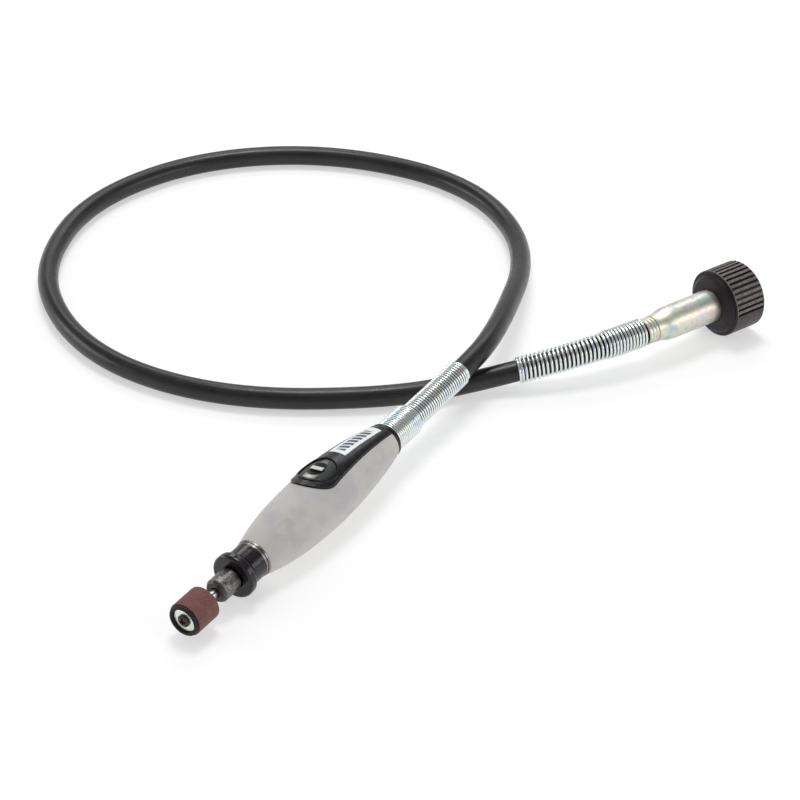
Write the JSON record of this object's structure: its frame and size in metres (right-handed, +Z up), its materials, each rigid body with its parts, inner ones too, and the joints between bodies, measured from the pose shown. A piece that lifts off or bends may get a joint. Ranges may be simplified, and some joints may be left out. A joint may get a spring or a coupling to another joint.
{
  "type": "flexible shaft with rotary handpiece",
  "caption": "Flexible shaft for a rotary tool: slim grey handpiece with collet, spindle lock and sanding drum, black casing in one loop, and a ribbed coupling nut.",
  "frame": {"origin": "centre of the coupling nut's thread, where the thread begins at the nut's open end", "axes": "+X along the coupling thread, out of the nut's open end; +Z up, with the part lying on a flat surface 13.4 mm below the origin; +Y towards the casing's loop"},
  "size_m": [0.2895, 0.2855, 0.0271],
  "materials": {
    "jacket": "satin black flexible plastic",
    "liner": "wound steel",
    "spring": "bright zinc plated spring wire",
    "zinc": "bright zinc plate with a faint yellow and pink passivation",
    "nut_black": "black moulded plastic, semi-gloss",
    "bronze": "sintered bronze",
    "steel": "ground steel",
    "grip": "warm light grey soft-touch, matt",
    "panel": "gloss black plastic",
    "label": "white, plain",
    "button": "gloss black plastic",
    "nose": "gloss black plastic",
    "trim": "dark metal",
    "collet_nut": "dark satin steel",
    "drum_rubber": "black rubber",
    "abrasive": "reddish brown abrasive on a card tube",
    "washer": "bright washer",
    "screw": "blackened steel"
  },
  "bodies": {
    "tool": {"handle_housing": "panel", "soft_grip": "grip", "label_plate": "label", "rear_end_cap": "panel", "preload_washer": "steel", "rear_bearing_outer": "steel", "front_bearing_outer": "steel", "nose_piece": "nose", "trim_rings": "trim", "lock_spring": "steel", "handpiece_ferrule": "zinc", "handpiece_spring": "spring", "casing": "jacket", "casing_liner": "liner", "flex_core": "liner", "drive_spring": "spring", "drive_ferrule": "zinc", "drive_bush": "bronze", "bush_circlip": "steel"},
    "button": {"lock_button": "button", "lock_pin": "steel"},
    "spindle": {"spindle": "steel", "core_drive_square": "steel", "rear_bearing_inner": "steel", "front_bearing_inner": "steel", "bearing_circlip": "steel"},
    "rear_balls": {"rear_bearing_balls": "steel", "rear_bearing_cage": "bronze"},
    "front_balls": {"front_bearing_balls": "steel", "front_bearing_cage": "bronze"},
    "collet": {"collet": "steel"},
    "collet_nut": {"collet_nut": "collet_nut"},
    "mandrel": {"mandrel": "steel", "rubber_drum": "drum_rubber"},
    "band": {"sanding_band": "abrasive"},
    "washer": {"drum_washer": "washer"},
    "screw": {"drum_screw": "screw"},
    "drive_sleeve": {"drive_sleeve": "steel"},
    "core_end": {"core_end": "steel"},
    "coupling_nut": {"coupling_nut": "nut_black"}
  },
  "joints": [
    {"name": "spindle_spin", "type": "hinge", "parent": "tool", "child": "spindle", "pos_m": [-0.23022, -0.02185, -0.00285], "axis": [-0.9387, -0.3417, -0.0461], "continuous": true},
    {"name": "rear_balls_orbit", "type": "hinge", "parent": "tool", "child": "rear_balls", "pos_m": [-0.19005, -0.00723, -0.00088], "axis": [-0.9387, -0.3417, -0.0461], "continuous": true},
    {"name": "front_balls_orbit", "type": "hinge", "parent": "tool", "child": "front_balls", "pos_m": [-0.23585, -0.0239, -0.00313], "axis": [-0.9387, -0.3417, -0.0461], "continuous": true},
    {"name": "button_press", "type": "slide", "parent": "tool", "child": "button", "axis": [0.0963, -0.1314, -0.9866], "range_m": [0, 0.0016], "stiffness_N_per_m": 800, "springref_m": -0.001, "deforming": ["lock_spring"]},
    {"name": "collet_slide", "type": "slide", "parent": "spindle", "child": "collet", "axis": [-0.9387, -0.3417, -0.0461], "range_m": [0, 0.0015]},
    {"name": "collet_nut_turn", "type": "hinge", "parent": "collet", "child": "collet_nut", "pos_m": [-0.26589, -0.03483, -0.0046], "axis": [-0.9387, -0.3417, -0.0461], "range_deg": [0, 720]},
    {"name": "mandrel_pull", "type": "slide", "parent": "collet", "child": "mandrel", "axis": [-0.9387, -0.3417, -0.0461], "range_m": [0, 0.025]},
    {"name": "band_slide", "type": "slide", "parent": "mandrel", "child": "band", "axis": [-0.9387, -0.3417, -0.0461], "range_m": [0, 0.015]},
    {"name": "drum_washer_slide", "type": "slide", "parent": "mandrel", "child": "washer", "axis": [-0.9387, -0.3417, -0.0461], "range_m": [0, 0.0008]},
    {"name": "drum_screw_turn", "type": "hinge", "parent": "washer", "child": "screw", "pos_m": [-0.2856, -0.04201, -0.00557], "axis": [-0.9387, -0.3417, -0.0461], "range_deg": [0, 720]},
    {"name": "core_spin", "type": "hinge", "parent": "tool", "child": "drive_sleeve", "pos_m": [-0.02, 0, 0], "axis": [1, 0, 0], "continuous": true},
    {"name": "core_end_slide", "type": "slide", "parent": "drive_sleeve", "child": "core_end", "axis": [1, 0, 0], "range_m": [0, 0.019]},
    {"name": "coupling_nut_spin", "type": "hinge", "parent": "tool", "child": "coupling_nut", "pos_m": [0, 0, 0], "axis": [1, 0, 0], "continuous": true}
  ],
  "couplings": [
    {"joint": "rear_balls_orbit", "follows": "spindle_spin", "ratio": 0.4},
    {"joint": "front_balls_orbit", "follows": "spindle_spin", "ratio": 0.4},
    {"joint": "core_spin", "follows": "spindle_spin", "ratio": -1},
    {"joint": "collet_nut_turn", "follows": "collet_slide", "rad_per_m": 8376.7},
    {"joint": "drum_screw_turn", "follows": "drum_washer_slide", "rad_per_m": 15706}
  ]
}
